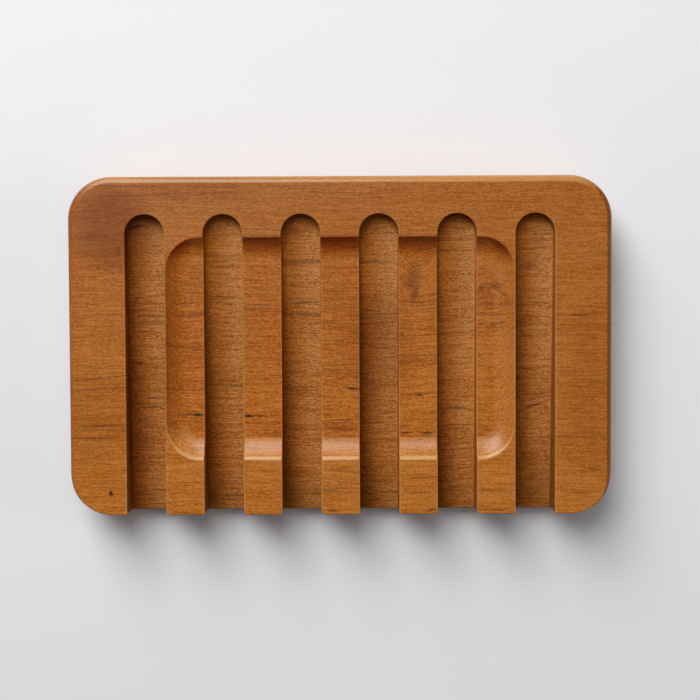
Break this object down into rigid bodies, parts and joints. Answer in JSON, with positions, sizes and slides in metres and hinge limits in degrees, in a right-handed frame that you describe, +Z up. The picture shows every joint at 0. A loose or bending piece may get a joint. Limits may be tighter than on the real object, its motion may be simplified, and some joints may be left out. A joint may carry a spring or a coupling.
{
  "type": "soap dish",
  "caption": "Rectangular wooden soap dish with round corners, a shallow hollow for the bar and sloping drain grooves that run out at the front edge, on small bumper feet.",
  "frame": {"origin": "on the table, under the middle of the board, at the level of the feet's flat undersides", "axes": "+X to the right along the board's length and its grain, +Y to the back, towards the closed ends of the grooves, +Z up"},
  "size_m": [0.133, 0.083, 0.0165],
  "materials": {
    "oiled_wood": "oiled satin",
    "bumper_rubber": "matte"
  },
  "bodies": {
    "root": {"dish_board": "oiled_wood", "foot_front_left": "bumper_rubber", "foot_front_right": "bumper_rubber", "foot_back_left": "bumper_rubber", "foot_back_right": "bumper_rubber"}
  },
  "joints": []
}
